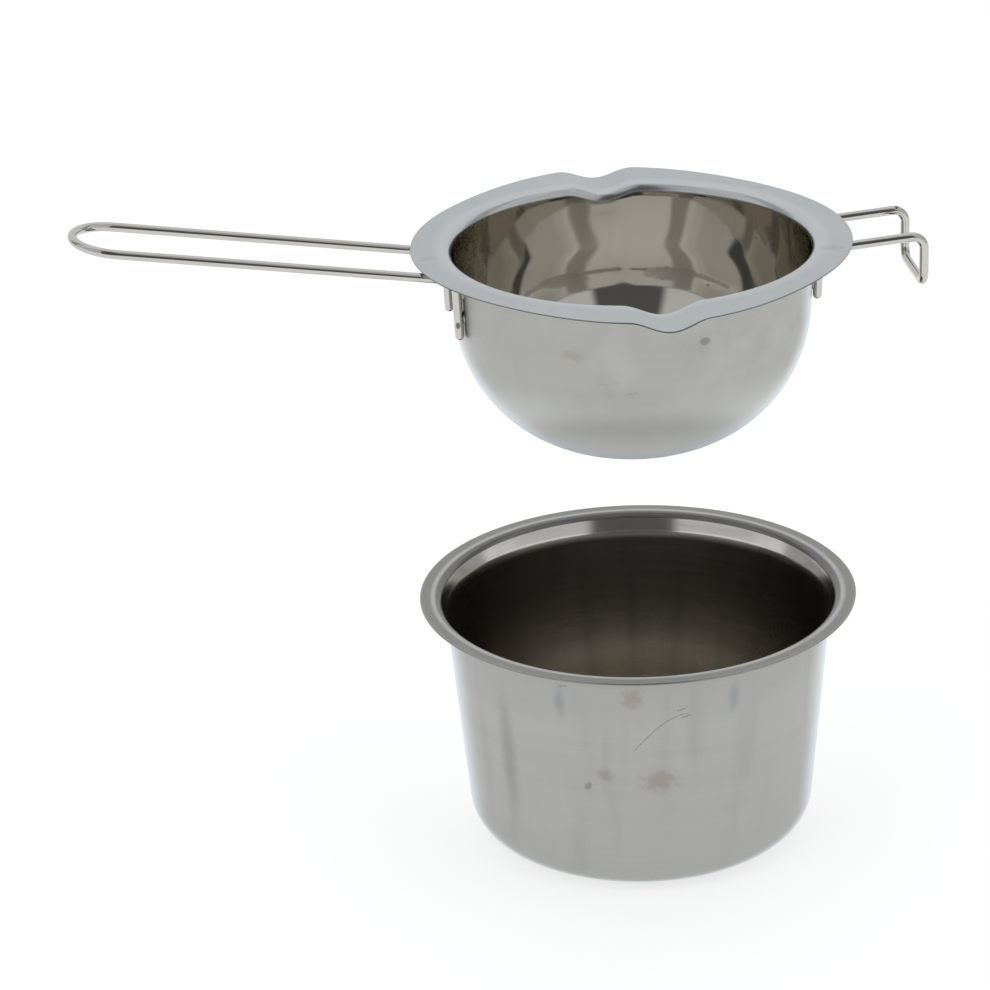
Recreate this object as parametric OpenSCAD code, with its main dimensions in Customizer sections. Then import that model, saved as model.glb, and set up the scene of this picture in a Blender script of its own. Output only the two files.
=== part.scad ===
// Candle melting pot: a spouted melting bowl with welded wire handle and rest hook,
// shown lifted straight above the round water pot that it sits in.
// Origin: centre of the pot's base. +Z up, handle along -X, hook along +X, spouts at -Y and +Y.

/* [Sheet metal] */
// Thickness of the pressed sheet of both the pot and the bowl
sheet_t = 0.6; // [0.5:0.1:0.8]

/* [Lower pot] */
// Height of the pot from the base to the top of its rim
pot_h = 84; // [80:1:100]
// Outer radius of the pot's rim
pot_rim_r = 72.5; // [71:0.5:76]
// Radius at which the flat rim starts to turn down into the pot
pot_rim_in_r = 68; // [67:0.5:69]
// Radius of the turn between the flat rim and the flare
pot_turn_r = 3; // [2:0.5:4]
// Lean of the short flare under the rim, away from the vertical
pot_flare_angle = 24; // [20:1:30]
// Depth below the rim at which the flare meets the wall
pot_flare_depth = 6; // [5:0.5:8]
// Lean of the tapered wall away from the vertical
pot_wall_angle = 5.3; // [4:0.1:6]
// Outer radius of the rounding between the wall and the base
pot_corner_r = 13; // [10:1:16]

/* [Melting bowl] */
// Height of the bowl's flange above the pot's rim in the lifted position
bowl_lift = 123; // [80:1:150]
// Depth of the bowl from the top of its flange to its underside
bowl_depth = 68; // [60:1:72]
// Inner radius of the bowl just under its flange
bowl_r = 57.9; // [57.5:0.1:58]
// Radius of the turn between the flange and the bowl's wall
bowl_turn_r = 3; // [2.5:0.5:4]
// Lean of the bowl's upper wall away from the vertical
bowl_wall_angle = 2; // [1.5:0.5:2.5]
// Radius of the arc that forms the lower half of the bowl
bowl_arc_r = 48; // [45:1:49]
// Mean radius of the flange's outline
flange_r = 72; // [71:0.5:73]
// How much longer the flange is towards its spouts than towards its handle
flange_stretch = 2.2; // [1:0.1:3]
// How strongly the flange draws in between its four corners
flange_corner = 1.6; // [0:0.1:2]

/* [Pouring spouts] */
// Width of a spout's channel across the flange
spout_w = 26; // [20:1:30]
// Depth of a spout's channel below the flange
spout_depth = 3.3; // [2:0.1:3.5]

/* [Wires] */
// Diameter of the handle and hook wires
wire_d = 3; // [2.6:0.1:3]
// Distance between the two runs of a wire, centre to centre
wire_gap = 27; // [24:1:30]
// Centreline radius of the tight bends
bend_r = 4; // [3:0.5:5]
// Lean of the wires' legs, which follow the bowl's wall
leg_angle = 2; // [1.5:0.5:2.5]
// Distance from the bowl's axis to the end of the handle's loop, at the wire's centre
handle_reach = 178; // [150:1:200]
// Upward slope of the handle
handle_rise = 9; // [4:0.5:12]
// Depth of the handle's legs below the flange
handle_leg_depth = 24.5; // [20:0.5:25]
// Distance from the bowl's axis to the hook's drop, at the wire's centre
hook_reach = 93; // [88:1:100]
// Upward slope of the hook's two arms
hook_rise = 4; // [4:1:8]
// Depth of the hook's cross bar below the flange, at the wire's centre
hook_bar_depth = 17; // [14:0.5:20]
// Depth of the hook's legs below the flange
hook_leg_depth = 19.5; // [16:0.5:22]

/* [Welds] */
// Diameter of the weld spots between a leg and the bowl's wall
weld_d = 2.6; // [2:0.1:2.8]
// Depths of the handle's weld spots below the flange
handle_weld_depths = [9, 17];
// Depths of the hook's weld spots below the flange
hook_weld_depths = [8, 14];

/* [Hidden] */
$fn = 64;
eps = 0.01;
// How far a piece reaches into the one before it
fuse = 0.1;
turn_steps = 8;
corner_steps = 20;
outline_steps = 120;
spout_steps = 24;
wire_r = wire_d / 2;
leg_y = wire_gap / 2;
flange_z = pot_h + bowl_lift;
flange_edge_x = flange_r - flange_stretch + flange_corner;
bowl_out_r = bowl_r + sheet_t / cos(bowl_wall_angle);
// Radius at which the flat flange starts to turn down into the bowl
turn_x = bowl_r + bowl_turn_r * cos(bowl_wall_angle);
// Gap between a leg and the wall, which the welds bridge
weld_gap = 0.15;
// How far a weld goes into the leg and into the wall
weld_depth = 0.3;
// Gap between the top of a wire and the flange's underside at the flange's edge
flange_gap = 0.1;
// Where a leg's centreline stands: weld_gap off the wall, at y = leg_y
leg_axis_r = bowl_out_r + weld_gap + wire_r;
leg_x = sqrt(leg_axis_r * leg_axis_r - leg_y * leg_y);
// Where a spout's block starts and ends along Y, inside the bowl and past its lip
spout_in_y = 45;
spout_out_y = 85;
steel_pot = [0.62, 0.62, 0.60];
steel_bowl = [0.70, 0.71, 0.72];
steel_wire = [0.74, 0.73, 0.70];
steel_weld = [0.50, 0.49, 0.46];

// ---- Pressed sheet -------------------------------------------------------

// Points along an arc about [x, z], from angle a to angle b
function arc(x, z, radius, a, b, steps) = [
    for (i = [0 : steps])
        let (angle = a + (b - a) * i / steps)
        [x + radius * cos(angle), z + radius * sin(angle)]
];

// Where a wall that leans by lean from [top_r, top_z] ends in a corner of radius corner_r on base_z
function corner_centre(top_r, top_z, lean, corner_r, base_z) = [
    top_r - (top_z - base_z - corner_r) * tan(lean) - corner_r / cos(lean),
    base_z + corner_r
];

// One face of the sheet below the top of a wall that leans from [top_r, top_z], to the middle of the base
function cup_face(top_r, top_z, lean, corner_r, base_z) =
    let (c = corner_centre(top_r, top_z, lean, corner_r, base_z))
    concat(arc(c.x, c.y, corner_r, -lean, -90, corner_steps), [[0, base_z]]);

function reversed(points) = [for (i = [len(points) - 1 : -1 : 0]) points[i]];

// ---- Lower pot -----------------------------------------------------------

module pot_section() {
    a = 180 - pot_flare_angle;
    turn_x = pot_rim_in_r + pot_turn_r * cos(a);
    turn_z = pot_turn_r * (sin(a) - 1);
    wall_x = turn_x - (pot_flare_depth + turn_z) * tan(pot_flare_angle);
    wall_t = sheet_t / cos(pot_wall_angle);
    inner = concat(
        [[pot_rim_r, 0]],
        arc(pot_rim_in_r, -pot_turn_r, pot_turn_r, 90, a, turn_steps),
        [[wall_x, -pot_flare_depth]],
        cup_face(wall_x, -pot_flare_depth, pot_wall_angle, pot_corner_r - sheet_t, sheet_t - pot_h)
    );
    outer = concat(
        [[pot_rim_r, -sheet_t]],
        arc(pot_rim_in_r, -pot_turn_r, pot_turn_r - sheet_t, 90, a, turn_steps),
        [[wall_x + wall_t, -pot_flare_depth]],
        cup_face(wall_x + wall_t, -pot_flare_depth, pot_wall_angle, pot_corner_r, -pot_h)
    );
    translate([0, pot_h]) polygon(concat(inner, reversed(outer)));
}

module lower_pot() {
    color(steel_pot) rotate_extrude() pot_section();
}

// ---- Melting bowl --------------------------------------------------------

function flange_outline_r(a) =
    flange_r - flange_stretch * cos(2 * a) + flange_corner * cos(4 * a) - 0.3 * cos(6 * a);

module flange_outline() {
    polygon([
        for (i = [0 : outline_steps - 1])
            let (a = i * 360 / outline_steps)
            [flange_outline_r(a) * cos(a), flange_outline_r(a) * sin(a)]
    ]);
}

// Path of the sheet's upper face or of its underside, from the flange to the middle of the bottom.
// depth is 0 on the upper face and sheet_t on the underside.
function bowl_path(depth) =
    concat(
        arc(turn_x, -bowl_turn_r, bowl_turn_r - depth, 90, 180 - bowl_wall_angle, turn_steps),
        cup_face(
            bowl_r + depth / cos(bowl_wall_angle),
            -bowl_turn_r * (1 - sin(bowl_wall_angle)),
            bowl_wall_angle,
            bowl_arc_r - sheet_t + depth,
            sheet_t - bowl_depth - depth
        )
    );

// Height of a spout's channel at a distance x from its middle
function channel_z(x) = -spout_depth * (1 + cos(360 * x / spout_w)) / 2;

// Section of a spout, from its channel lowered by depth up to top_z
function channel_section(depth, top_z) = concat(
    [
        for (i = [0 : spout_steps])
            let (x = spout_w * (i / spout_steps - 0.5))
            [x, channel_z(x) - depth]
    ],
    [[spout_w / 2, top_z], [-spout_w / 2, top_z]]
);

// Runs a section drawn in X and Z along both spouts
module along_spouts(inner_y, outer_y) {
    for (side = [0, 1])
        mirror([0, side, 0])
        translate([0, outer_y, 0])
        rotate([90, 0, 0])
        linear_extrude(outer_y - inner_y)
        children();
}

// A solid block with the sheet's underside, out to rim_r and up past the flange
module bowl_block(rim_r) {
    rotate_extrude() polygon(concat([[0, 1], [rim_r, 1], [rim_r, -sheet_t]], bowl_path(sheet_t)));
    along_spouts(spout_in_y, spout_out_y) polygon(channel_section(sheet_t + eps, -sheet_t / 2));
}

module melting_bowl() {
    color(steel_bowl) translate([0, 0, flange_z]) difference() {
        intersection() {
            bowl_block(spout_out_y + 5);
            translate([0, 0, -bowl_depth - 1]) linear_extrude(bowl_depth + 1) flange_outline();
        }
        rotate_extrude() polygon(concat([[0, 1], [turn_x, 1]], bowl_path(0)));
        along_spouts(spout_in_y, spout_out_y) polygon(channel_section(-eps, 1));
    }
}

// ---- Wires ---------------------------------------------------------------
// A wire is laid piece by piece from its middle. Each piece starts at the local origin and heads
// along +Z, and its children carry on from its far end.

module run(length) {
    cylinder(r = wire_r, h = length);
    translate([0, 0, length]) children();
}

// Bend towards local +X
module bend(angle, radius) {
    translate([radius, 0, 0])
        rotate([90, 0, 0])
        rotate_extrude(angle = angle, start = 180 - angle)
        translate([radius, 0])
        circle(wire_r);
    translate([radius, 0, 0]) rotate([0, angle, 0]) translate([-radius, 0, 0]) children();
}

// Last run, with a rounded end. It starts a hair inside the bend and is a hair thinner, so that the
// two fuse into one solid.
module end_run(length) {
    tip_r = wire_r - eps;
    rotate_extrude() polygon(concat(
        [[0, -fuse], [tip_r, -fuse]],
        arc(0, length - tip_r, tip_r, 0, 90, turn_steps)
    ));
}

// Distance from a corner to the start of its bend
function setback(angle) = bend_r * tan(angle / 2);

// Height of an arm's centreline at x, just clear of the flange's underside at the flange's edge
function arm_z(x, rise) = -sheet_t - flange_gap - wire_r / cos(rise) + (x - flange_edge_x) * tan(rise);

// Length of a leg from its bend to its rounded end
function leg_length(rise, depth) =
    (depth + arm_z(leg_x, rise)) / cos(leg_angle) - setback(90 - leg_angle - rise);

module handle_half() {
    turn = 90 - leg_angle - handle_rise;
    arm = (handle_reach - leg_x) / cos(handle_rise) - leg_y - setback(turn);
    translate([-handle_reach, 0, arm_z(handle_reach, handle_rise)])
        rotate([0, handle_rise, 0])
        rotate([-90, 0, 0])
        bend(90, leg_y)
        run(arm)
        rotate([0, 0, 90])
        bend(turn, bend_r)
        end_run(leg_length(handle_rise, handle_leg_depth));
}

module handle_wire() {
    color(steel_wire) translate([0, 0, flange_z]) {
        handle_half();
        mirror([0, 1, 0]) handle_half();
    }
}

module hook_half() {
    outer_turn = 90 + hook_rise;
    inner_turn = 90 - leg_angle - hook_rise;
    drop = arm_z(hook_reach, hook_rise) + hook_bar_depth - bend_r - setback(outer_turn);
    arm = (hook_reach - leg_x) / cos(hook_rise) - setback(outer_turn) - setback(inner_turn);
    translate([hook_reach, 0, -hook_bar_depth])
        rotate([-90, 0, 0])
        rotate([0, 0, -90])
        run(leg_y - bend_r)
        bend(90, bend_r)
        run(drop)
        rotate([0, 0, -90])
        bend(outer_turn, bend_r)
        run(arm)
        bend(inner_turn, bend_r)
        end_run(leg_length(hook_rise, hook_leg_depth));
}

module hook_wire() {
    color(steel_wire) translate([0, 0, flange_z]) {
        hook_half();
        mirror([0, 1, 0]) hook_half();
    }
}

// ---- Welds ---------------------------------------------------------------

// One weld spot: a short radial plug that is fused into a leg and into the bowl's wall
module weld_spot(depth) {
    wall_in = depth * tan(leg_angle);
    translate([0, 0, -depth])
        rotate([0, 90, atan2(leg_y, leg_x)])
        translate([0, 0, bowl_out_r - wall_in - weld_depth])
        cylinder(r = weld_d / 2, h = weld_gap + 2 * weld_depth);
}

module weld_group(depths) {
    for (depth = depths, side = [0, 1]) mirror([0, side, 0]) weld_spot(depth);
}

module handle_welds() {
    color(steel_weld) translate([0, 0, flange_z]) mirror([1, 0, 0]) weld_group(handle_weld_depths);
}

module hook_welds() {
    color(steel_weld) translate([0, 0, flange_z]) weld_group(hook_weld_depths);
}

lower_pot();
melting_bowl();
handle_wire();
hook_wire();
handle_welds();
hook_welds();
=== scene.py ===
import math
import random

import bpy
import bmesh
from mathutils import Matrix, Vector


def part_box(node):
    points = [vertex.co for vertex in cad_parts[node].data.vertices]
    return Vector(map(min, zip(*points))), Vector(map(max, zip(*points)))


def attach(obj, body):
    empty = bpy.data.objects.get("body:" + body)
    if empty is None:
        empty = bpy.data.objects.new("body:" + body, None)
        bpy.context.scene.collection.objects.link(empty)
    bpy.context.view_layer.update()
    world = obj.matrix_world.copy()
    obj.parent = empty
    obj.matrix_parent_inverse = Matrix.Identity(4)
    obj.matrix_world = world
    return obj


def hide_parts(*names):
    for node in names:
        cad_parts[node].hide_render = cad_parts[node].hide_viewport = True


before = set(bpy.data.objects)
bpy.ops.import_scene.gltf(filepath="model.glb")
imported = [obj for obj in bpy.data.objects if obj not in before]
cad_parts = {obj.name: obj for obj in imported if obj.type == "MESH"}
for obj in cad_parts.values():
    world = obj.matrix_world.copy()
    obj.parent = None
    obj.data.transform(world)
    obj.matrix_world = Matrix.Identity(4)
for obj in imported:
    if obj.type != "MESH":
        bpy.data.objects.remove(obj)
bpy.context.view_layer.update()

MM = 0.001
MM_PER_M = 1000.0
TAU = 2 * math.pi

# ---- Sizes, in millimetres, read off the CAD nodes -----------------------------
pot_lo, pot_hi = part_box("lower_pot")
bowl_lo, bowl_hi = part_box("melting_bowl")
handle_lo, handle_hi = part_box("handle_wire")
hook_lo, hook_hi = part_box("hook_wire")

POT_H = pot_hi.z / MM
RIM_R = pot_hi.x / MM
FLANGE_Z = bowl_hi.z / MM
BOWL_DEPTH = (bowl_hi.z - bowl_lo.z) / MM
SHEET = 0.6

# Lower pot: rim, turn, flare, wall and corner
RIM_IN_R = 68.0
POT_TURN_R = 3.0
FLARE_DEPTH = 6.0
FLARE_LEAN_DEG = 24
POT_LEAN_DEG = 5.3
POT_CORNER_R = 13.0
POT_LEAN = math.radians(POT_LEAN_DEG)

# Melting bowl: wall, turn, round bottom, flange and spouts
BOWL_R = 57.9
TURN_R = 3.0
LEAN_DEG = 2
WALL_LEAN = math.radians(LEAN_DEG)
TURN_X = BOWL_R + TURN_R * math.cos(WALL_LEAN)
BALL_R = 48
SPOUT_W = 26
SPOUT_DEPTH = 3.3
SPOUT_FADE = 14

# Wires and welds
WIRE_R = 1.5
BEND_R = 4
LEG_Y = 13.5
HANDLE_REACH = -handle_lo.x / MM - WIRE_R
HANDLE_RISE = math.radians(9)
HANDLE_LEG_DEPTH = 24.5
HANDLE_WELD_DEPTHS = (9, 17)
HOOK_REACH = hook_hi.x / MM - WIRE_R
HOOK_RISE = math.radians(4)
HOOK_LEG_DEPTH = 19.5
HOOK_BAR_DEPTH = 17
HOOK_WELD_DEPTHS = (8, 14)
FLANGE_GAP = 0.1
FLANGE_EDGE_X = 71.4
WELD_GAP = 0.15


def smooth(t):
    t = min(1.0, max(0.0, t))
    return t * t * (3 - 2 * t)


def arc(cx, cz, r, a0, a1, n):
    """Points from angle a0 to angle a1, in degrees."""
    return [
        (
            cx + r * math.cos(math.radians(a0 + (a1 - a0) * i / n)),
            cz + r * math.sin(math.radians(a0 + (a1 - a0) * i / n)),
        )
        for i in range(n + 1)
    ]


def line(a, b, n):
    """Points between a and b, without both ends."""
    return [(a[0] + (b[0] - a[0]) * i / n, a[1] + (b[1] - a[1]) * i / n) for i in range(1, n)]


# ---- Node helpers --------------------------------------------------------------
class Nodes:
    """Small wrapper that adds shader nodes and wires them up."""

    def __init__(self, tree):
        self.tree = tree
        self.tree.nodes.clear()

    def add(self, kind, inputs=None, out=0, **props):
        node = self.tree.nodes.new(kind)
        for key, value in props.items():
            setattr(node, key, value)
        for key, value in (inputs or {}).items():
            self.put(node.inputs[key], value)
        return node if out is None or not len(node.outputs) else node.outputs[out]

    def put(self, socket, value):
        if isinstance(value, bpy.types.NodeSocket):
            self.tree.links.new(value, socket)
        else:
            socket.default_value = value

    def math(self, op, a, b=0.0, clamp=False):
        return self.add("ShaderNodeMath", {0: a, 1: b}, operation=op, use_clamp=clamp)

    def vec(self, op, a, b=(0, 0, 0)):
        out = "Value" if op in ("LENGTH", "DOT_PRODUCT", "DISTANCE") else "Vector"
        return self.add("ShaderNodeVectorMath", {0: a, 1: b}, out=out, operation=op)

    def ramp(self, value, a, b, lo=0.0, hi=1.0):
        """lo at a and below, hi at b and beyond, smooth in between."""
        return self.add(
            "ShaderNodeMapRange",
            {"Value": value, "From Min": a, "From Max": b, "To Min": lo, "To Max": hi},
            interpolation_type="SMOOTHSTEP",
        )

    def noise(self, at, scale, detail=3.0, rough=0.55):
        return self.add(
            "ShaderNodeTexNoise",
            {"Vector": at, "Scale": scale, "Detail": detail, "Roughness": rough},
        )

    def mix(self, share, a, b):
        node = self.add("ShaderNodeMix", {"Factor": share}, out=None, data_type="RGBA")
        self.put(node.inputs[6], a)
        self.put(node.inputs[7], b)
        return node.outputs[2]


# Colour of the painted sheen on edges seen edge-on
SHEEN_BLUE = (0.80, 0.87, 0.96)


class Steel(Nodes):
    """A steel finish: colour, roughness and bump are built up from layers."""

    def __init__(self, name, color, rough, aniso=0.0):
        self.material = bpy.data.materials.new(name)
        self.material.use_nodes = True
        super().__init__(self.material.node_tree)
        self.out = self.add("ShaderNodeOutputMaterial", out=None)
        self.bsdf = self.add("ShaderNodeBsdfPrincipled", {"Metallic": 1.0}, out=None)
        self.tree.links.new(self.bsdf.outputs[0], self.out.inputs[0])
        where = self.add("ShaderNodeTexCoord", out="Object")
        self.at = self.vec("SCALE", where)
        self.at.node.inputs["Scale"].default_value = MM_PER_M
        self.color = (*color, 1.0)
        self.rough = rough
        self.height = None
        if aniso:
            self.bsdf.inputs["Anisotropic"].default_value = aniso
            tangent = self.add("ShaderNodeTangent", direction_type="RADIAL", axis="Z")
            self.tree.links.new(tangent, self.bsdf.inputs["Tangent"])

    def tint(self, mask, color, share=1.0):
        amount = self.math("MULTIPLY", mask, share)
        self.color = self.mix(amount, self.color, (*color, 1.0))

    def add_rough(self, mask, amount):
        self.rough = self.math("ADD", self.rough, self.math("MULTIPLY", mask, amount), clamp=True)

    def bump(self, height, depth_mm):
        self.height = (
            self.math("MULTIPLY", height, depth_mm)
            if self.height is None
            else self.math("ADD", self.height, self.math("MULTIPLY", height, depth_mm))
        )

    def stretched(self, sx, sy, sz):
        return self.vec("MULTIPLY", self.at, (sx, sy, sz))

    def height_mm(self):
        """Height above the pot's base at rest."""
        return self.add("ShaderNodeSeparateXYZ", {"Vector": self.at}, out="Z")

    def radius_mm(self):
        """Distance from the common axis."""
        return self.vec("LENGTH", self.stretched(1, 1, 0))

    def painted_edge_sheen(self, share):
        """Painted sheen: satin steel turns pale and bluish where it is seen edge-on, standing in for the
        white backdrop's light wrapping round the edges.
        """
        facing = self.add("ShaderNodeLayerWeight", {"Blend": 0.5}, out="Facing")
        self.tint(self.ramp(facing, 0.64, 0.95), SHEEN_BLUE, share)

    def spot(self, centre, radii, soft=0.6, ragged=0.5):
        """A ragged patch about a point on the surface, in millimetres."""
        p = self.vec("DIVIDE", self.vec("SUBTRACT", self.at, centre), radii)
        uneven = self.math("SUBTRACT", self.noise(self.at, 0.45, 4.0), 0.5)
        reach = self.math("ADD", self.vec("LENGTH", p), self.math("MULTIPLY", uneven, ragged * 2))
        return self.ramp(reach, 1.0, 1.0 - soft)

    def scratch(self, a, b, width):
        """A thin line from a to b."""
        a, b = Vector(a), Vector(b)
        ab = b - a
        rel = self.vec("SUBTRACT", self.at, tuple(a))
        t = self.math("DIVIDE", self.vec("DOT_PRODUCT", rel, tuple(ab)), ab.length_squared, clamp=True)
        along = self.vec("SCALE", tuple(ab))
        self.tree.links.new(t, along.node.inputs["Scale"])
        return self.ramp(self.vec("DISTANCE", rel, along), width, width * 0.4)

    def done(self):
        self.put(self.bsdf.inputs["Base Color"], self.color)
        self.put(self.bsdf.inputs["Roughness"], self.rough)
        if self.height is not None:
            normal = self.add("ShaderNodeBump", {"Height": self.height, "Distance": MM, "Strength": 1.0})
            self.tree.links.new(normal, self.bsdf.inputs["Normal"])
        return self.material


def on_wall(radius, azimuth, z):
    """A point on a round wall. Azimuth 0 is -Y, the front, and positive goes towards +X."""
    a = math.radians(azimuth)
    return (radius * math.sin(a), -radius * math.cos(a), z)


POT_WALL_R = 63.96  # outside, where the flare starts


def on_pot(azimuth, z):
    """A point on the lower pot's outer wall."""
    return on_wall(POT_WALL_R - (POT_H - FLARE_DEPTH - z) * math.tan(POT_LEAN), azimuth, z)


def on_bowl(azimuth, depth, radius=58.0):
    """A point on the bowl's outer wall, depth below the flange."""
    return on_wall(radius, azimuth, FLANGE_Z - depth)


# ---- Finishes ------------------------------------------------------------------
# Places of marks are in millimetres and degrees on the object, with azimuth as in on_wall.
SCUFF = (0.20, 0.19, 0.17)


def pot_outside():
    m = Steel("pot_brushed_outside", (0.400, 0.403, 0.386), 0.30, aniso=0.35)
    lines = m.noise(m.stretched(0.02, 0.02, 2.6), 1.0, 6.0, 0.7)
    broad = m.noise(m.stretched(0.010, 0.010, 0.12), 1.0, 3.0)
    upright = m.noise(m.stretched(0.11, 0.11, 0.010), 1.0, 3.0, 0.5)
    patches = m.noise(m.at, 0.035, 4.0, 0.6)
    m.tint(m.ramp(lines, 0.40, 0.70), (0.45, 0.452, 0.435), 0.45)
    m.tint(m.ramp(broad, 0.45, 0.75), (0.34, 0.335, 0.315), 0.30)
    m.tint(m.ramp(upright, 0.50, 0.75), (0.32, 0.322, 0.318), 0.45)
    m.tint(m.ramp(patches, 0.50, 0.75), (0.43, 0.435, 0.44), 0.45)
    high = m.ramp(m.height_mm(), POT_H - 26, POT_H - 6)
    m.tint(high, (0.32, 0.318, 0.30), 0.35)
    # Two soft blue-grey streaks under the rim, and a long upright one
    for azimuth in (-33.0, 19.5):
        m.tint(m.spot(on_pot(azimuth, 71.0), (2.9, 2.9, 9.0), 0.9, 0.25), (0.25, 0.265, 0.29), 0.6)
    m.tint(m.spot(on_pot(-54.0, 45.0), (5.0, 5.0, 46.0), 0.9, 0.2), (0.26, 0.26, 0.245), 0.6)
    # Dried water and heat stains, as (azimuth, height, half width, half height)
    stains = ((-20.0, 45.7, 4.4, 3.4), (-3.3, 43.5, 8.6, 5.4), (-11.2, 74.5, 5.0, 5.4))
    for azimuth, z, wide, tall in stains:
        m.tint(m.spot(on_pot(azimuth, z), (wide, wide, tall), 0.8, 0.6), (0.275, 0.248, 0.22), 0.55)
    m.tint(m.spot(on_pot(-25.6, 40.8), (1.7, 1.7, 2.0), 0.5, 0.9), SCUFF, 0.6)
    # A bowed scratch, two short ones at its end and one under the rim
    steps = 8
    bow = [
        on_pot(16.1 * t / steps - 11.0, 55.1 + 12.9 * math.sin(math.pi / 2 * t / steps))
        for t in range(steps + 1)
    ]
    for start, end in zip(bow, bow[1:]):
        m.tint(m.scratch(start, end, 0.36), SCUFF, 0.45)
    for azimuth, z in ((2.0, 69.2), (3.6, 66.6), (-32.8, 77.0)):
        m.tint(m.scratch(on_pot(azimuth, z), on_pot(azimuth + 2.2, z + 0.7), 0.4), SCUFF, 0.6)
    # Painted sheen: pale blue where the wall is seen edge-on
    m.painted_edge_sheen(0.75)
    m.add_rough(m.ramp(lines, 0.35, 0.75), 0.06)
    m.add_rough(m.ramp(patches, 0.45, 0.75), 0.05)
    m.bump(lines, 0.0025)
    return m


def pot_inside():
    m = Steel("pot_satin_inside", (0.40, 0.395, 0.375), 0.20, aniso=0.4)
    lines = m.noise(m.stretched(0.03, 0.03, 1.6), 1.0, 5.0, 0.65)
    upright = m.noise(m.stretched(0.12, 0.12, 0.008), 1.0, 3.0, 0.5)
    patches = m.noise(m.at, 0.05, 4.0, 0.6)
    m.tint(m.ramp(patches, 0.45, 0.75), (0.38, 0.345, 0.285), 0.5)
    m.tint(m.ramp(upright, 0.48, 0.72), (0.27, 0.27, 0.26), 0.5)
    low = m.ramp(m.height_mm(), 22.0, 4.0)
    m.tint(low, (0.64, 0.56, 0.46), 0.9)
    m.add_rough(m.ramp(lines, 0.4, 0.7), 0.03)
    m.bump(lines, 0.0004)
    return m


def pot_rim():
    """The rim is dull and brownish on its flat and dark round the turn; the band left paler between them,
    towards the turn, is a painted highlight.
    """
    m = Steel("pot_rim", (0.46, 0.46, 0.44), 0.22)
    radius = m.radius_mm()
    top = m.ramp(m.height_mm(), POT_H - 0.25, POT_H - 0.05)
    flat = m.math("MULTIPLY", m.ramp(radius, RIM_R - 4.2, RIM_R - 3.0), top)
    m.tint(flat, (0.215, 0.21, 0.19), 0.85)
    wear = m.noise(m.stretched(0.10, 0.10, 0.10), 1.0, 4.0, 0.6)
    m.tint(m.ramp(wear, 0.45, 0.75), (0.33, 0.325, 0.30), 0.4)
    m.tint(m.ramp(radius, RIM_R - 1.0, RIM_R - 0.5), (0.36, 0.36, 0.35), 0.5)
    # Painted highlight: the pale band between the dark flat and this dark turn.
    m.tint(m.ramp(radius, RIM_R - 4.6, RIM_R - 5.6), (0.13, 0.13, 0.125), 0.85)
    m.add_rough(m.ramp(wear, 0.4, 0.75), 0.07)
    return m


def pot_flare():
    """The short flare below the turn is brighter and glossier than the wall; its brighter colour is a
    painted highlight, a light band along the flare.
    """
    # Painted highlight: the bright base colour paints a light band along the flare.
    m = Steel("pot_flare_painted_light_band", (0.66, 0.64, 0.60), 0.13)
    wear = m.noise(m.stretched(0.05, 0.05, 0.5), 1.0, 4.0, 0.6)
    m.tint(m.ramp(wear, 0.45, 0.75), (0.50, 0.48, 0.44), 0.5)
    m.add_rough(m.ramp(wear, 0.4, 0.75), 0.06)
    return m


def painted_edge_shade():
    """Painted shade: the lower half of a sheet's edge is painted nearly black, so it reads as a thin dark
    line.
    """
    m = Steel("sheet_edge_painted_shade", (0.085, 0.085, 0.085), 0.42)
    # The painted shade is mottled a little.
    shade_mottle = m.noise(m.at, 1.2, 4.0, 0.6)
    m.tint(m.ramp(shade_mottle, 0.45, 0.75), (0.16, 0.155, 0.145), 0.7)
    return m


def bowl_flange():
    m = Steel("bowl_flange", (0.475, 0.49, 0.50), 0.24)
    fine = m.noise(m.stretched(0.10, 0.035, 0.2), 1.0, 5.0, 0.6)
    patches = m.noise(m.at, 0.035, 4.0, 0.55)
    m.tint(m.ramp(fine, 0.45, 0.75), (0.44, 0.452, 0.46), 0.5)
    m.tint(m.ramp(patches, 0.50, 0.75), (0.53, 0.53, 0.515), 0.55)
    # Painted highlight: a bright band on the flange close to the throat.
    throat_highlight = m.ramp(m.radius_mm(), BOWL_R + 7.5, BOWL_R + 2.5)
    m.tint(throat_highlight, (0.60, 0.61, 0.61), 0.55)
    for x, y in ((-66.0, -3.0), (61.0, -21.0), (52.0, 44.0)):
        m.tint(m.spot((x, y, FLANGE_Z), (5.0, 3.0, 3.0), 0.9, 0.7), (0.37, 0.375, 0.38), 0.5)
    m.add_rough(m.ramp(fine, 0.40, 0.75), 0.04)
    return m


def bowl_inside():
    m = Steel("bowl_mirror_inside", (0.595, 0.57, 0.52), 0.045)
    smear = m.noise(m.stretched(0.06, 0.06, 0.03), 1.0, 4.0, 0.55)
    fine = m.noise(m.at, 0.5, 4.0, 0.6)
    m.tint(m.ramp(smear, 0.50, 0.75), (0.54, 0.515, 0.46), 0.6)
    # Two wax smears low on the back wall, and small spots near them, as (x, y, depth)
    for x, y, depth, radii in ((-15.0, 53.5, 31.6, (11.0, 7.0, 2.4)), (22.0, 51.5, 31.0, (11.0, 8.0, 2.6))):
        mask = m.spot((x, y, FLANGE_Z - depth), radii, 0.35, 0.45)
        m.tint(mask, (0.40, 0.375, 0.33), 0.75)
        m.add_rough(mask, 0.16)
    for x, y, depth in ((33.0, 44.5, 33.5), (36.0, 42.0, 31.0), (47.0, 33.0, 14.0)):
        m.tint(m.spot((x, y, FLANGE_Z - depth), (0.9, 0.9, 0.7), 0.6, 0.5), (0.25, 0.23, 0.2), 0.7)
    m.add_rough(m.ramp(smear, 0.45, 0.75), 0.05)
    m.add_rough(m.ramp(fine, 0.5, 0.8), 0.02)
    return m


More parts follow.
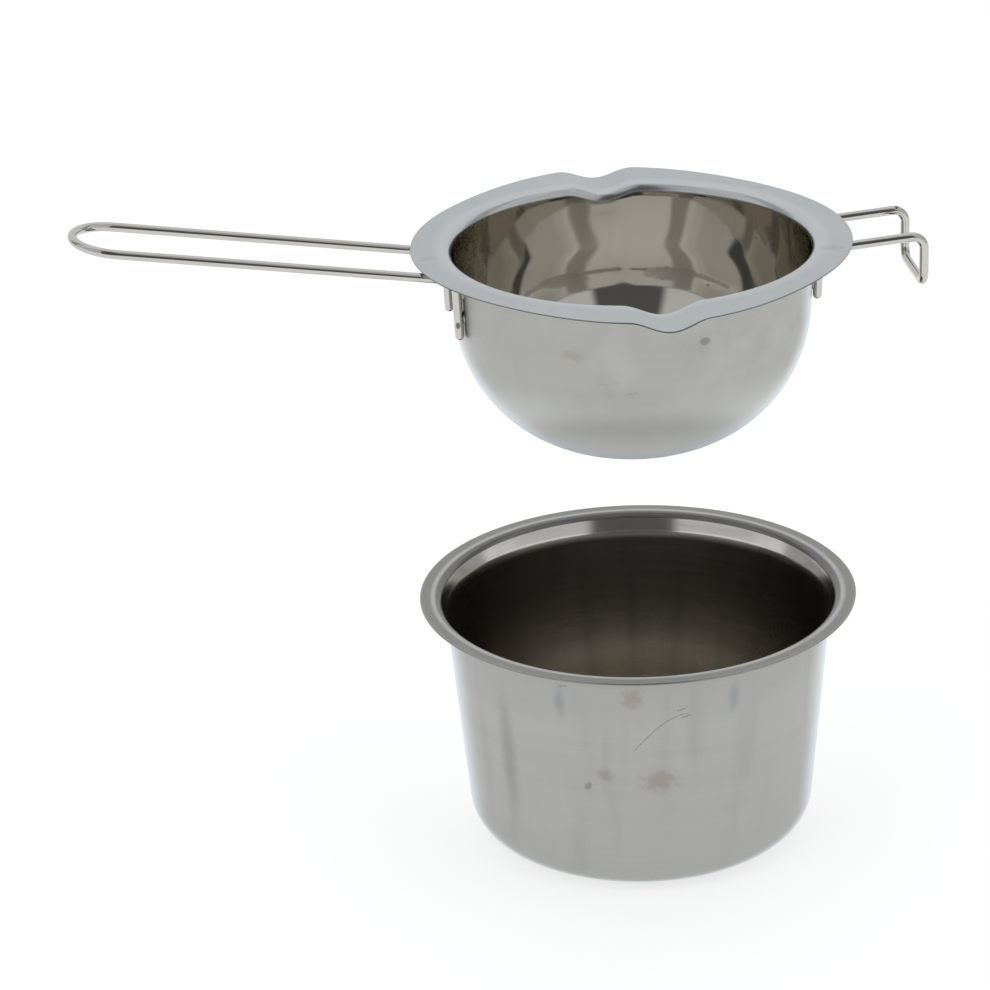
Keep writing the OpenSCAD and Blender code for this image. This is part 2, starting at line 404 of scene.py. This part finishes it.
def bowl_outside():
    """Satin steel, more matt towards the bottom; the paler bottom is painted light."""
    m = Steel("bowl_satin_outside", (0.395, 0.396, 0.372), 0.36, aniso=0.2)
    lines = m.noise(m.stretched(0.03, 0.03, 0.8), 1.0, 6.0, 0.65)
    patches = m.noise(m.at, 0.035, 4.0, 0.6)
    blooms = m.noise(m.stretched(0.05, 0.05, 0.035), 1.0, 3.0, 0.5)
    m.tint(m.ramp(lines, 0.45, 0.72), (0.42, 0.418, 0.40), 0.35)
    m.tint(m.ramp(patches, 0.50, 0.78), (0.32, 0.312, 0.285), 0.5)
    m.tint(m.ramp(blooms, 0.48, 0.70), (0.46, 0.463, 0.455), 0.6)
    # Painted light: the bottom is tinted nearly white and made less metallic, so it reads pale.
    low = m.ramp(m.height_mm(), FLANGE_Z - 30, FLANGE_Z - 62)
    m.tint(low, (0.78, 0.80, 0.80), 1.0)
    # A round smudge under the front spout, a warm patch, and faint level scratches
    m.tint(m.spot(on_bowl(13.5, 14.7), (2.3, 2.3, 1.6), 0.5, 0.4), (0.17, 0.17, 0.17), 0.6)
    m.tint(m.spot(on_bowl(-27.0, 18.0), (6.0, 6.0, 3.5), 0.9, 0.8), (0.30, 0.285, 0.25), 0.5)
    scratches = ((-19.6, 27.6, 6.0), (-12.0, 31.1, 4.0), (-16.0, 24.0, 3.0), (-14.0, 36.0, 3.0))
    for azimuth, depth, turn in scratches:
        ends = [on_bowl(azimuth + turn * k, depth - 0.8 * k, radius=57.0) for k in (0, 1)]
        m.tint(m.scratch(*ends, 0.6), (0.28, 0.27, 0.24), 0.4)
    # Painted sheen: pale blue where the wall is seen edge-on
    m.painted_edge_sheen(0.8)
    m.add_rough(low, 0.22)
    m.put(m.bsdf.inputs["Metallic"], m.math("SUBTRACT", 1.0, m.math("MULTIPLY", low, 0.65)))
    m.add_rough(m.ramp(patches, 0.45, 0.8), 0.05)
    m.bump(lines, 0.0015)
    return m


def wire_steel():
    m = Steel("wire_drawn_steel", (0.55, 0.54, 0.51), 0.055)
    fine = m.noise(m.stretched(0.10, 0.5, 0.4), 1.0, 4.0, 0.6)
    m.tint(m.ramp(fine, 0.5, 0.75), (0.44, 0.42, 0.38), 0.45)
    # Rust pits on the grip, on one leg and on the hook, as (x, y, depth)
    for x, y, depth in ((-92.0, -LEG_Y, 4.4), (-58.5, -LEG_Y - 1.0, 19.0), (90.0, LEG_Y, -0.2)):
        m.tint(m.spot((x, y, FLANGE_Z - depth), (0.9, 1.8, 1.5), 0.5, 0.4), (0.07, 0.055, 0.04), 0.85)
    m.add_rough(m.ramp(fine, 0.4, 0.75), 0.05)
    m.bump(fine, 0.002)
    return m


def weld_metal():
    m = Steel("weld_metal", (0.33, 0.32, 0.29), 0.38)
    fine = m.noise(m.at, 1.4, 5.0, 0.7)
    m.tint(m.ramp(fine, 0.45, 0.7), (0.20, 0.17, 0.13), 0.8)
    m.bump(fine, 0.05)
    return m


# ---- Meshes --------------------------------------------------------------------
def add_object(name, verts, faces, slots, materials):
    mesh = bpy.data.meshes.new(name)
    mesh.from_pydata([tuple(c * MM for c in v) for v in verts], [], faces)
    for m in materials:
        mesh.materials.append(m)
    mesh.polygons.foreach_set("material_index", slots)
    mesh.polygons.foreach_set("use_smooth", [True] * len(faces))
    bm = bmesh.new()
    bm.from_mesh(mesh)
    bmesh.ops.recalc_face_normals(bm, faces=bm.faces)
    bm.to_mesh(mesh)
    bm.free()
    obj = bpy.data.objects.new(name, mesh)
    bpy.context.scene.collection.objects.link(obj)
    return obj


def lofted(name, rings, place, segments, materials):
    """A closed skin from pole to pole. rings holds (ring, finish), and place(ring, angle) gives a point.
    The first and last ring are poles, a single point each."""
    verts, faces, slots = [], [], []
    starts = []
    last = len(rings) - 1
    for i, (ring, finish) in enumerate(rings):
        starts.append(len(verts))
        count = 1 if i in (0, last) else segments
        for j in range(count):
            verts.append(place(ring, TAU * j / segments))
    for i in range(last):
        a, b = starts[i], starts[i + 1]
        for j in range(segments):
            k = (j + 1) % segments
            if i == 0:
                face = (a, b + j, b + k)
            elif i == last - 1:
                face = (a + j, b, a + k)
            else:
                face = (a + j, b + j, b + k, a + k)
            faces.append(face)
            slots.append(rings[i + 1][1])
    return add_object(name, verts, faces, slots, materials)


OUTSIDE, TOP, INSIDE, EDGE, FLARE = 0, 1, 2, 3, 4


def tagged(points, finish):
    return [(p, finish) for p in points]


def make_pot():
    """Deep-drawn pot: base, round corner, leaning wall, short flare, turn and flat round-edged rim."""
    lean, flare = POT_LEAN, math.radians(FLARE_LEAN_DEG)
    h = POT_H
    edge_r = SHEET / 2
    under_r = POT_TURN_R - SHEET
    turn_x = RIM_IN_R - POT_TURN_R * math.cos(flare)
    turn_z = POT_TURN_R * (math.sin(flare) - 1)
    wall_x = turn_x - (FLARE_DEPTH + turn_z) * math.tan(flare)
    wall_t = SHEET / math.cos(lean)
    flare_angle = 180 - FLARE_LEAN_DEG
    wall_steps, base_steps, corner_steps = 24, 10, 16

    def corner_x(top_r, radius, base_z):
        height = h - FLARE_DEPTH - base_z - radius
        return top_r - height * math.tan(lean) - radius / math.cos(lean)

    # Outer face, from the middle of the base up to the rim's underside. A ring close below the
    # flare keeps the shading of the wall straight.
    out_cx = corner_x(wall_x + wall_t, POT_CORNER_R, 0)
    out_top = (wall_x + wall_t, h - FLARE_DEPTH)
    below = 1.2
    under_start = (RIM_IN_R - under_r * math.cos(flare), h - POT_TURN_R + under_r * math.sin(flare))
    out_path = [(0, 0)] + line((0, 0), (out_cx, 0), base_steps)
    out_path += arc(out_cx, POT_CORNER_R, POT_CORNER_R, -90, -POT_LEAN_DEG, corner_steps)
    out_path += line(out_path[-1], out_top, wall_steps)
    out_path += [(out_top[0] - below * math.sin(lean), out_top[1] - below), out_top]
    out_path += line(out_top, under_start, 4)
    out_path += arc(RIM_IN_R, h - POT_TURN_R, under_r, flare_angle, 90, 10)
    flat_end = RIM_R - edge_r - 0.1
    out_path += line(out_path[-1], (flat_end, h - SHEET), 4)

    edge = arc(RIM_R - edge_r, h - edge_r, edge_r, -90, 90, 8)
    # The lower half of the edge takes the painted shade.
    lower_edge, upper_edge = edge[:5], edge[5:]
    top = [(flat_end, h)] + line((flat_end, h), (RIM_IN_R, h), 4)

    # Inner face, from the turn down to the middle of the base
    in_cx = corner_x(wall_x, POT_CORNER_R - SHEET, SHEET)
    in_top = (wall_x, h - FLARE_DEPTH)
    turn = arc(RIM_IN_R, h - POT_TURN_R, POT_TURN_R, 90, flare_angle, 12)
    flare_path = line(turn[-1], in_top, 4) + [in_top]
    bottom = arc(in_cx, POT_CORNER_R, POT_CORNER_R - SHEET, -POT_LEAN_DEG, -90, corner_steps)
    wall = line(in_top, bottom[0], wall_steps) + bottom
    wall += line((in_cx, SHEET), (0, SHEET), base_steps) + [(0, SHEET)]

    rings = tagged(out_path, OUTSIDE) + tagged(lower_edge, EDGE) + tagged(upper_edge + top, TOP)
    rings += tagged(turn, TOP) + tagged(flare_path, FLARE) + tagged(wall, INSIDE)

    def place(p, a):
        return (p[0] * math.cos(a), p[0] * math.sin(a), p[1])

    finishes = [pot_outside_m, pot_rim_m, pot_inside_m, edge_m, flare_m]
    return lofted("pot_shell", rings, place, 256, finishes)


def flange_r(a):
    """The flange's outline: a round one, longer towards the spouts, drawn in between four soft corners."""
    return 72 - 2.2 * math.cos(2 * a) + 1.6 * math.cos(4 * a) - 0.3 * math.cos(6 * a)


def spout_dip(x, y, z):
    """How far the sheet is pressed down: a channel across the flange, fading out down the wall."""
    clear_y = 40
    if abs(x) >= SPOUT_W / 2 or abs(y) < clear_y:
        return 0.0
    profile = 0.5 * (1 + math.cos(TAU * x / SPOUT_W))
    return SPOUT_DEPTH * profile * smooth((z + SPOUT_FADE) / 10)


def ripple(a, z):
    """Slight unevenness left by drawing the bowl, in millimetres."""
    fade = smooth((-z - 4) / 10) * smooth((z + 66) / 20)
    return fade * (
        0.030 * math.sin(7 * a + 0.8 + 0.05 * z)
        + 0.018 * math.sin(13 * a - 1.1 - 0.09 * z)
        + 0.009 * math.sin(23 * a + 2.0 + 0.16 * z)
        + 0.014 * math.sin(4 * a + 0.21 * z)
    )


def make_bowl():
    """Drawn bowl with a wide four-cornered flange, two pressed spouts and a round bottom."""
    lean = WALL_LEAN
    edge_r = SHEET / 2
    flat_steps, turn_steps, ball_steps = 14, 14, 56

    def cup(depth):
        """Turn, wall and round bottom of the face that lies depth below the sheet's upper face."""
        radius = BALL_R - SHEET + depth
        base = SHEET - BOWL_DEPTH - depth
        top_r = BOWL_R + depth / math.cos(lean)
        top_z = -TURN_R * (1 - math.sin(lean))
        cx = top_r - (top_z - base - radius) * math.tan(lean) - radius / math.cos(lean)
        turn = arc(TURN_X, -TURN_R, TURN_R - depth, 90, 180 - LEAN_DEG, turn_steps)
        ball = arc(cx, base + radius, radius, -LEAN_DEG, -90, ball_steps)
        return turn, line(turn[-1], ball[0], 10) + ball + line(ball[-1], (0, base), 5) + [(0, base)]

    # A ring is (radius, z), or ("flange", share of the way out, z), or ("edge", angle round the edge)
    under_turn, under = cup(SHEET)
    upper_turn, upper = cup(0)
    outwards = [i / flat_steps for i in range(1, flat_steps + 1)]
    rings = tagged(under[::-1], OUTSIDE) + tagged(under_turn[::-1], OUTSIDE)
    rings += tagged([("flange", share, -SHEET) for share in outwards], OUTSIDE)
    # The lower half of the flange's edge takes the painted shade.
    rings += tagged([("edge", q) for q in range(-75, 16, 15)], EDGE)
    rings += tagged([("edge", q) for q in range(30, 91, 15)], TOP)
    rings += tagged([("flange", share, 0.0) for share in outwards[::-1]], TOP)
    rings += tagged(upper_turn, TOP) + tagged(upper, INSIDE)

    def place(ring, a):
        r_edge = flange_r(a) - edge_r
        if ring[0] == "flange":
            r, z = TURN_X + (r_edge - 0.05 - TURN_X) * ring[1], ring[2]
        elif ring[0] == "edge":
            q = math.radians(ring[1])
            r, z = r_edge + edge_r * math.cos(q), -edge_r + edge_r * math.sin(q)
        else:
            r, z = ring
            if 0 < r < BOWL_R:
                r += ripple(a, z)
        x, y = r * math.cos(a), r * math.sin(a)
        return (x, y, FLANGE_Z + z - spout_dip(x, y, z))

    finishes = [bowl_outside_m, bowl_flange_m, bowl_inside_m, edge_m]
    return lofted("bowl_shell", rings, place, 480, finishes)


def rounded_line(corners, radii, step=0.6):
    """Points along a line through corners, with the corners rounded to radii."""
    corners = [Vector(c) for c in corners]
    points = [corners[0]]
    for i in range(1, len(corners) - 1):
        a, c, b = corners[i - 1], corners[i], corners[i + 1]
        u, v = (a - c).normalized(), (b - c).normalized()
        half = u.angle(v) / 2
        r = radii[i - 1]
        back = r / math.tan(half)
        centre = c + (u + v).normalized() * (r / math.sin(half))
        start, end = c + u * back - centre, c + v * back - centre
        bend = math.pi - 2 * half
        n = max(8, int(r * bend / step))
        normal = start.cross(end).normalized()
        for k in range(n + 1):
            points.append(centre + Matrix.Rotation(bend * k / n, 3, normal) @ start)
    points.append(corners[-1])
    # Straight stretches are split, and doubled points are dropped
    straight_step, doubled = 3.0, 1e-4
    full = [points[0]]
    for p in points[1:]:
        gap = (p - full[-1]).length
        if gap < doubled:
            continue
        n = max(1, int(gap / straight_step))
        base = full[-1]
        full += [base + (p - base) * k / n for k in range(1, n + 1)]
    return full


def sweep(name, path, radius, material, sides=28):
    """A round wire along path with rounded ends."""
    verts, faces = [], []
    tangents = []
    for i in range(len(path)):
        t = path[min(i + 1, len(path) - 1)] - path[max(i - 1, 0)]
        tangents.append(t.normalized())
    side = tangents[0].orthogonal().normalized()
    rings = []
    cap = 7
    for i, p in enumerate(path):
        t = tangents[i]
        side = (side - t * side.dot(t)).normalized()
        up = t.cross(side)
        if i == 0:
            for k in range(cap, 0, -1):
                q = math.pi / 2 * k / cap
                rings.append((p - t * radius * (math.sin(q) - 1), side, up, radius * math.cos(q)))
        elif i == len(path) - 1:
            for k in range(1, cap + 1):
                q = math.pi / 2 * k / cap
                rings.append((p + t * radius * (math.sin(q) - 1), side, up, radius * math.cos(q)))
        else:
            rings.append((p, side, up, radius))
    for i, (c, s, u, r) in enumerate(rings):
        if i in (0, len(rings) - 1):
            verts.append(c)
            continue
        for j in range(sides):
            a = TAU * j / sides
            verts.append(c + (s * math.cos(a) + u * math.sin(a)) * r)
    for i in range(len(rings) - 1):
        a = 0 if i == 0 else 1 + (i - 1) * sides
        b = 1 + i * sides
        for j in range(sides):
            k = (j + 1) % sides
            if i == 0:
                faces.append((0, b + j, b + k))
            elif i == len(rings) - 2:
                faces.append((a + j, len(verts) - 1, a + k))
            else:
                faces.append((a + j, b + j, b + k, a + k))
    return add_object(name, verts, faces, [0] * len(faces), [material])


def arm_z(x, rise):
    """Height of an arm's centreline over the flange, just clear of the flange's underside."""
    return -SHEET - FLANGE_GAP - WIRE_R / math.cos(rise) + (x - FLANGE_EDGE_X) * math.tan(rise)


BOWL_OUT = BOWL_R + SHEET / math.cos(WALL_LEAN)
LEG_X = math.sqrt((BOWL_OUT + WELD_GAP + WIRE_R) ** 2 - LEG_Y**2)


def leg_and_arm(sign, y, depth, rise, reach):
    """The end of a leg, the corner at its top, and the far end of the arm."""
    top = arm_z(LEG_X, rise)
    inwards = (depth + top) * math.tan(WALL_LEAN)
    return [
        (sign * (LEG_X - inwards), y, FLANGE_Z - depth),
        (sign * LEG_X, y, FLANGE_Z + top),
        (sign * reach, y, FLANGE_Z + arm_z(reach, rise)),
    ]


def make_handle():
    corners = []
    for y in (-LEG_Y, LEG_Y):
        half = leg_and_arm(-1, y, HANDLE_LEG_DEPTH, HANDLE_RISE, HANDLE_REACH)
        corners += half if y < 0 else half[::-1]
    loop_r = LEG_Y - 1e-4
    path = rounded_line(corners, [BEND_R, loop_r, loop_r, BEND_R])
    return sweep("handle_loop_wire", path, WIRE_R, wire_m)


def make_hook():
    corners = []
    for y in (-LEG_Y, LEG_Y):
        half = leg_and_arm(1, y, HOOK_LEG_DEPTH, HOOK_RISE, HOOK_REACH)
        half.append((HOOK_REACH, y, FLANGE_Z - HOOK_BAR_DEPTH))
        corners += half if y < 0 else half[::-1]
    path = rounded_line(corners, [BEND_R] * 6)
    return sweep("hook_bent_wire", path, WIRE_R, wire_m)


def make_beads(name, sign, depths):
    """Weld beads: uneven fillets that fill the corners between each leg and the wall."""
    rng = random.Random(7 if sign > 0 else 11)
    rows, cols = 10, 16
    wide, thick, half_long = 0.75, 0.55, 1.7
    beside, proud = 1.15, 0.25
    verts, faces = [], []
    for y, depth in ((y, depth) for y in (-LEG_Y, LEG_Y) for depth in depths):
        inwards = depth * math.tan(WALL_LEAN)
        out = Vector((sign * (LEG_X - inwards), y, 0)).normalized()
        across = Vector((-out.y, out.x, 0))
        for hand in (-1, 1):
            centre = out * (BOWL_OUT - inwards + proud) + across * hand * beside
            centre += Vector((0, 0, FLANGE_Z - depth))
            start = len(verts)
            lump = [rng.uniform(-0.12, 0.12) for _ in range(6)]
            for i in range(1, rows):
                for j in range(cols):
                    th, ph = math.pi * i / rows, TAU * j / cols
                    p = (
                        across * math.sin(th) * math.cos(ph) * wide
                        + out * math.sin(th) * math.sin(ph) * thick
                        + Vector((0, 0, math.cos(th) * half_long))
                    )
                    around = lump[0] * math.sin(3 * ph + lump[1] * 9)
                    along = lump[2] * math.sin(4 * th + lump[3] * 9)
                    verts.append(centre + p * (1 + around + along))
            top_v, bottom_v = len(verts), len(verts) + 1
            verts.append(centre + Vector((0, 0, half_long)))
            verts.append(centre - Vector((0, 0, half_long)))
            last = start + (rows - 2) * cols
            for i in range(rows - 2):
                a, b = start + i * cols, start + (i + 1) * cols
                for j in range(cols):
                    k = (j + 1) % cols
                    faces.append((a + j, b + j, b + k, a + k))
            for j in range(cols):
                k = (j + 1) % cols
                faces.append((top_v, start + j, start + k))
                faces.append((bottom_v, last + k, last + j))
    return add_object(name, verts, faces, [0] * len(faces), [weld_m])


# ---- Pieces --------------------------------------------------------------------
pot_outside_m = pot_outside().done()
pot_rim_m = pot_rim().done()
pot_inside_m = pot_inside().done()
bowl_outside_m = bowl_outside().done()
bowl_flange_m = bowl_flange().done()
bowl_inside_m = bowl_inside().done()
edge_m = painted_edge_shade().done()
flare_m = pot_flare().done()
wire_m = wire_steel().done()
weld_m = weld_metal().done()

for piece, body, node, slot in (
    (make_pot(), "pot", "lower_pot", "pot_steel"),
    (make_bowl(), "bowl", "melting_bowl", "bowl_steel"),
    (make_handle(), "bowl", "handle_wire", "wire_steel"),
    (make_hook(), "bowl", "hook_wire", "wire_steel"),
    (make_beads("handle_weld_beads", -1, HANDLE_WELD_DEPTHS), "bowl", "handle_welds", "weld_steel"),
    (make_beads("hook_weld_beads", 1, HOOK_WELD_DEPTHS), "bowl", "hook_welds", "weld_steel"),
):
    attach(piece, body)
    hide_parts(node)

# ---- Camera --------------------------------------------------------------------
# The camera looks at the pot's rim from 1.33 m, about 24 degrees above it and turned a little off
# the handle's square-on view. The rim's centre lies a little right of and below the lens's axis.
# The picture is rolled a little, with no shift and no depth of field.
YAW, ELEVATION, ROLL = (math.radians(v) for v in (6.9, 24.2, -1.9))
RIGHT, BELOW = math.radians(2.04), math.radians(1.36)
DISTANCE = 1.333
LENS = 145.45

pitch = ELEVATION - BELOW
forward = Vector((0, math.cos(pitch), -math.sin(pitch)))
up = Vector((0, math.sin(pitch), math.cos(pitch)))
right = Vector((1, 0, 0))
cam_right = right * math.cos(ROLL) + up * math.sin(ROLL)
cam_up = up * math.cos(ROLL) - right * math.sin(ROLL)
ray = Vector((math.tan(RIGHT), -math.tan(BELOW), 1)).normalized()
place = -(cam_right * ray.x + cam_up * ray.y + forward * ray.z) * DISTANCE
turn_back = Matrix.Rotation(-YAW, 3, "Z")
axes = [turn_back @ v for v in (cam_right, cam_up, -forward)]
place = turn_back @ place + Vector((0, 0, pot_hi.z))
cam_data = bpy.data.cameras.new("camera")
cam_data.sensor_width = 36
cam_data.lens = LENS
cam_data.clip_end = 30
camera = bpy.data.objects.new("camera", cam_data)
camera.matrix_world = Matrix(
    [(axes[0][i], axes[1][i], axes[2][i], place[i]) for i in range(3)] + [(0, 0, 0, 1)]
)
bpy.context.scene.collection.objects.link(camera)
bpy.context.scene.camera = camera

# ---- Floor ---------------------------------------------------------------------
# A pale floor that glows a little, so that it ends up white and keeps a faint shadow.
HALF = 5
floor_mesh = bpy.data.meshes.new("floor")
floor_corners = [(-HALF, -HALF, 0), (HALF, -HALF, 0), (HALF, HALF, 0), (-HALF, HALF, 0)]
floor_mesh.from_pydata(floor_corners, [], [(0, 1, 2, 3)])
floor = bpy.data.objects.new("floor", floor_mesh)
bpy.context.scene.collection.objects.link(floor)
floor_m = bpy.data.materials.new("floor_white")
floor_m.use_nodes = True
n = Nodes(floor_m.node_tree)
shader = n.add(
    "ShaderNodeBsdfPrincipled",
    {
        "Base Color": (0.55, 0.55, 0.55, 1),
        "Roughness": 0.9,
        "Specular IOR Level": 0.0,
        "Emission Color": (1, 1, 1, 1),
        "Emission Strength": 0.64,
    },
)
n.add("ShaderNodeOutputMaterial", {"Surface": shader})
floor_mesh.materials.append(floor_m)

# ---- Studio --------------------------------------------------------------------
# A white sweep all round, darker behind the camera, where the room is, with soft boxes at both
# sides and a gap beyond them. Azimuth is measured from the camera's side, in both directions.
world = bpy.data.worlds.new("studio")
bpy.context.scene.world = world
world.use_nodes = True
n = Nodes(world.node_tree)
deg = math.radians
where = n.add("ShaderNodeTexCoord", out="Generated")
turn = {"Vector": where, "Axis": (0, 0, 1), "Angle": YAW}
turned = n.add("ShaderNodeVectorRotate", turn, rotation_type="AXIS_ANGLE")
x, y, z = n.add("ShaderNodeSeparateXYZ", {"Vector": turned}, out=None).outputs
azimuth = n.math("ABSOLUTE", n.math("ARCTAN2", x, n.math("MULTIPLY", y, -1.0)))
height = n.math("ARCSINE", z)


def zone(value, fade_in, fade_out):
    """1 between two soft limits, each given in degrees as (outside, inside)."""
    inside = n.ramp(value, deg(fade_in[0]), deg(fade_in[1])) if fade_in else 1.0
    return n.math("MULTIPLY", inside, n.ramp(value, deg(fade_out[0]), deg(fade_out[1])))


def dimmed(light, mask, share):
    return n.math("MULTIPLY", light, n.math("SUBTRACT", 1.0, n.math("MULTIPLY", mask, share)))


sweep_light = n.ramp(height, deg(-10), deg(70), 0.80, 0.95)
camera_dark = n.math("MULTIPLY", zone(azimuth, None, (29, 22)), zone(height, None, (78, 62)))
gap = n.math("MULTIPLY", zone(azimuth, (95, 102), (128, 120)), zone(height, None, (70, 50)))
boxes = n.math("MULTIPLY", zone(azimuth, (24, 30), (86, 80)), zone(height, (4, 10), (60, 52)))
room = n.math("MULTIPLY", zone(azimuth, None, (98, 72)), n.ramp(height, deg(6), deg(18)))
level = n.math("ADD", sweep_light, n.math("MULTIPLY", boxes, 0.15))
level = dimmed(level, room, 0.38)
level = dimmed(level, camera_dark, 0.80)
level = dimmed(level, gap, 0.50)
background = n.add("ShaderNodeBackground", {"Color": (0.97, 0.985, 1.0, 1), "Strength": level})
n.add("ShaderNodeOutputWorld", {"Surface": background})


def area_light(name, azimuth_deg, elevation_deg, watts, distance=1.8, size=1.1):
    """A soft light for the floor's shadow. The steel mirrors the sweep and not the lights."""
    data = bpy.data.lights.new(name, "AREA")
    data.shape = "SQUARE"
    data.size = size
    data.energy = watts
    light = bpy.data.objects.new(name, data)
    a, e = math.radians(azimuth_deg), math.radians(elevation_deg)
    direction = Vector((math.sin(a) * math.cos(e), -math.cos(a) * math.cos(e), math.sin(e)))
    light.location = direction * distance + Vector((0, 0, pot_hi.z))
    light.rotation_euler = direction.to_track_quat("Z", "Y").to_euler()
    light.visible_glossy = False
    bpy.context.scene.collection.objects.link(light)


area_light("key", -48, 48, 3)
area_light("fill", 55, 42, 2.5)

bpy.context.scene.view_settings.view_transform = "Standard"
bpy.context.scene.cycles.glossy_bounces = 12
